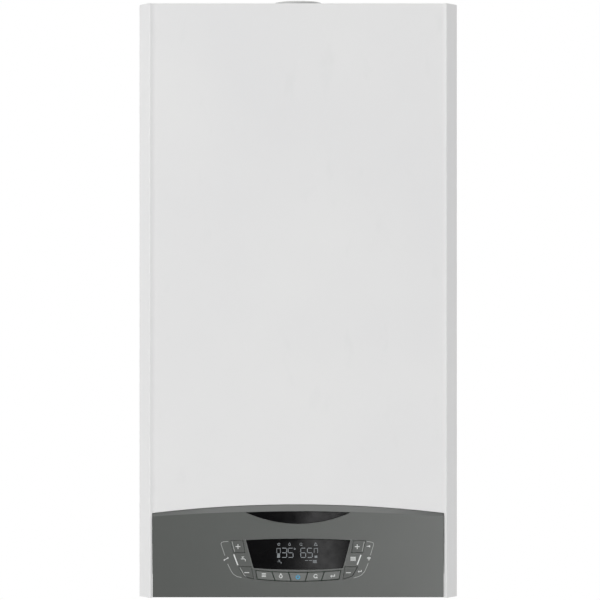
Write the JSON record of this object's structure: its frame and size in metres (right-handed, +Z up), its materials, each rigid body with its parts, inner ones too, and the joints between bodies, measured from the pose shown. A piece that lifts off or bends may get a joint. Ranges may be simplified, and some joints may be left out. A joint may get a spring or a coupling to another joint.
{
  "type": "combi boiler",
  "caption": "Wall-hung condensing combination boiler with a lift-off front cover, a fold-down control panel with keys and display, and its heat cell, fan, pump and pipework.",
  "frame": {"origin": "on the wall plane, at the centre of the hanging bracket's back face", "axes": "+Z up, -Y out of the wall towards the front cover, +X to the right when looking at the front"},
  "size_m": [0.4, 0.3197, 0.762],
  "materials": {
    "white_paint": "satin powder coat",
    "zinc_steel": "galvanised",
    "fascia_plastic": "satin moulded",
    "key_plastic": "satin moulded",
    "display_glass": "polished",
    "black_plastic": "moulded",
    "grey_plastic": "moulded",
    "pale_plastic": "moulded",
    "circuit_board": "lacquered",
    "stainless": "brushed",
    "coil_tube": "drawn tube",
    "cast_aluminium": "die cast",
    "copper": "drawn tube",
    "brass": "machined",
    "red_paint": "gloss paint",
    "red_plastic": "moulded",
    "blue_plastic": "moulded"
  },
  "bodies": {
    "casing": {"wall_bracket": "zinc_steel", "back_frame": "zinc_steel", "top_plate": "white_paint", "bottom_plate": "zinc_steel", "side_panel_left": "white_paint", "side_panel_right": "white_paint", "flue_spigot": "pale_plastic", "flue_duct": "pale_plastic", "heat_exchanger_shell": "stainless", "exchanger_coil": "coil_tube", "burner_door": "cast_aluminium", "burner_tube": "stainless", "ignition_electrode": "pale_plastic", "fan_housing": "cast_aluminium", "fan_motor": "black_plastic", "mixture_elbow": "cast_aluminium", "gas_mixer": "black_plastic", "air_silencer": "black_plastic", "gas_valve": "cast_aluminium", "gas_pipe": "copper", "expansion_vessel": "red_paint", "vessel_hose": "stainless", "pump_body": "black_plastic", "pump_motor": "grey_plastic", "air_vent": "brass", "return_pipe": "copper", "flow_pipe": "copper", "diverter_valve": "brass", "diverter_motor": "black_plastic", "plate_heat_exchanger": "stainless", "heating_flow_tail": "copper", "hot_water_tail": "copper", "cold_water_tail": "copper", "heating_return_tail": "copper", "condensate_trap": "pale_plastic", "pressure_gauge": "black_plastic", "filling_tap": "brass", "safety_valve": "brass"},
    "cover": {"front_cover": "white_paint"},
    "control_panel": {"control_fascia": "fascia_plastic", "control_box": "black_plastic", "main_board": "circuit_board", "display_module": "circuit_board", "display_window": "display_glass", "badge_insert": "display_glass"},
    "heating_plus": {"key_heating_plus": "key_plastic"},
    "heating_minus": {"key_heating_minus": "key_plastic"},
    "water_plus": {"key_water_plus": "key_plastic"},
    "water_minus": {"key_water_minus": "key_plastic"},
    "menu": {"key_menu": "key_plastic"},
    "comfort": {"key_comfort": "key_plastic"},
    "power": {"key_power": "key_plastic"},
    "auto": {"key_auto": "key_plastic"},
    "reset": {"key_reset": "key_plastic"},
    "fan_wheel": {"fan_impeller": "cast_aluminium"},
    "pump_wheel": {"pump_impeller": "pale_plastic"},
    "diverter_stem": {"diverter_spindle": "brass"},
    "needle": {"gauge_needle": "red_plastic"},
    "filling_knob": {"filling_tap_knob": "blue_plastic"},
    "safety_knob": {"safety_valve_knob": "red_plastic"}
  },
  "joints": [
    {"name": "cover_lift_off", "type": "slide", "parent": "casing", "child": "cover", "axis": [0, -1, 0], "range_m": [0, 0.35]},
    {"name": "panel_fold", "type": "hinge", "parent": "casing", "child": "control_panel", "pos_m": [0, -0.3, -0.682], "axis": [1, 0, 0], "range_deg": [0, 90]},
    {"name": "heating_plus_press", "type": "slide", "parent": "control_panel", "child": "heating_plus", "axis": [0, 1, 0], "range_m": [0, 0.0008], "stiffness_N_per_m": 1500, "springref_m": -0.0005},
    {"name": "heating_minus_press", "type": "slide", "parent": "control_panel", "child": "heating_minus", "axis": [0, 1, 0], "range_m": [0, 0.0008], "stiffness_N_per_m": 1500, "springref_m": -0.0005},
    {"name": "water_plus_press", "type": "slide", "parent": "control_panel", "child": "water_plus", "axis": [0, 1, 0], "range_m": [0, 0.0008], "stiffness_N_per_m": 1500, "springref_m": -0.0005},
    {"name": "water_minus_press", "type": "slide", "parent": "control_panel", "child": "water_minus", "axis": [0, 1, 0], "range_m": [0, 0.0008], "stiffness_N_per_m": 1500, "springref_m": -0.0005},
    {"name": "menu_press", "type": "slide", "parent": "control_panel", "child": "menu", "axis": [0, 1, 0], "range_m": [0, 0.0008], "stiffness_N_per_m": 1500, "springref_m": -0.0005},
    {"name": "comfort_press", "type": "slide", "parent": "control_panel", "child": "comfort", "axis": [0, 1, 0], "range_m": [0, 0.0008], "stiffness_N_per_m": 1500, "springref_m": -0.0005},
    {"name": "power_press", "type": "slide", "parent": "control_panel", "child": "power", "axis": [0, 1, 0], "range_m": [0, 0.0008], "stiffness_N_per_m": 1500, "springref_m": -0.0005},
    {"name": "auto_press", "type": "slide", "parent": "control_panel", "child": "auto", "axis": [0, 1, 0], "range_m": [0, 0.0008], "stiffness_N_per_m": 1500, "springref_m": -0.0005},
    {"name": "reset_press", "type": "slide", "parent": "control_panel", "child": "reset", "axis": [0, 1, 0], "range_m": [0, 0.0008], "stiffness_N_per_m": 1500, "springref_m": -0.0005},
    {"name": "fan_spin", "type": "hinge", "parent": "casing", "child": "fan_wheel", "pos_m": [0.105, -0.26, -0.13], "axis": [0, 1, 0], "continuous": true},
    {"name": "pump_spin", "type": "hinge", "parent": "casing", "child": "pump_wheel", "pos_m": [0.134, -0.13, -0.54], "axis": [0, 1, 0], "continuous": true},
    {"name": "diverter_stroke", "type": "slide", "parent": "casing", "child": "diverter_stem", "axis": [0, 0, -1], "range_m": [0, 0.007], "stiffness_N_per_m": 1500, "springref_m": -0.001},
    {"name": "needle_turn", "type": "hinge", "parent": "casing", "child": "needle", "pos_m": [-0.11, -0.222, -0.637], "axis": [0, 0, 1], "range_deg": [-120, 120], "stiffness_Nm_per_rad": 0.002},
    {"name": "filling_knob_turn", "type": "hinge", "parent": "casing", "child": "filling_knob", "pos_m": [0.032, -0.214, -0.662], "axis": [0, 0, 1], "range_deg": [0, 180]},
    {"name": "safety_knob_turn", "type": "hinge", "parent": "casing", "child": "safety_knob", "pos_m": [-0.134, -0.178, -0.57], "axis": [0, -1, 0], "range_deg": [0, 45]}
  ]
}
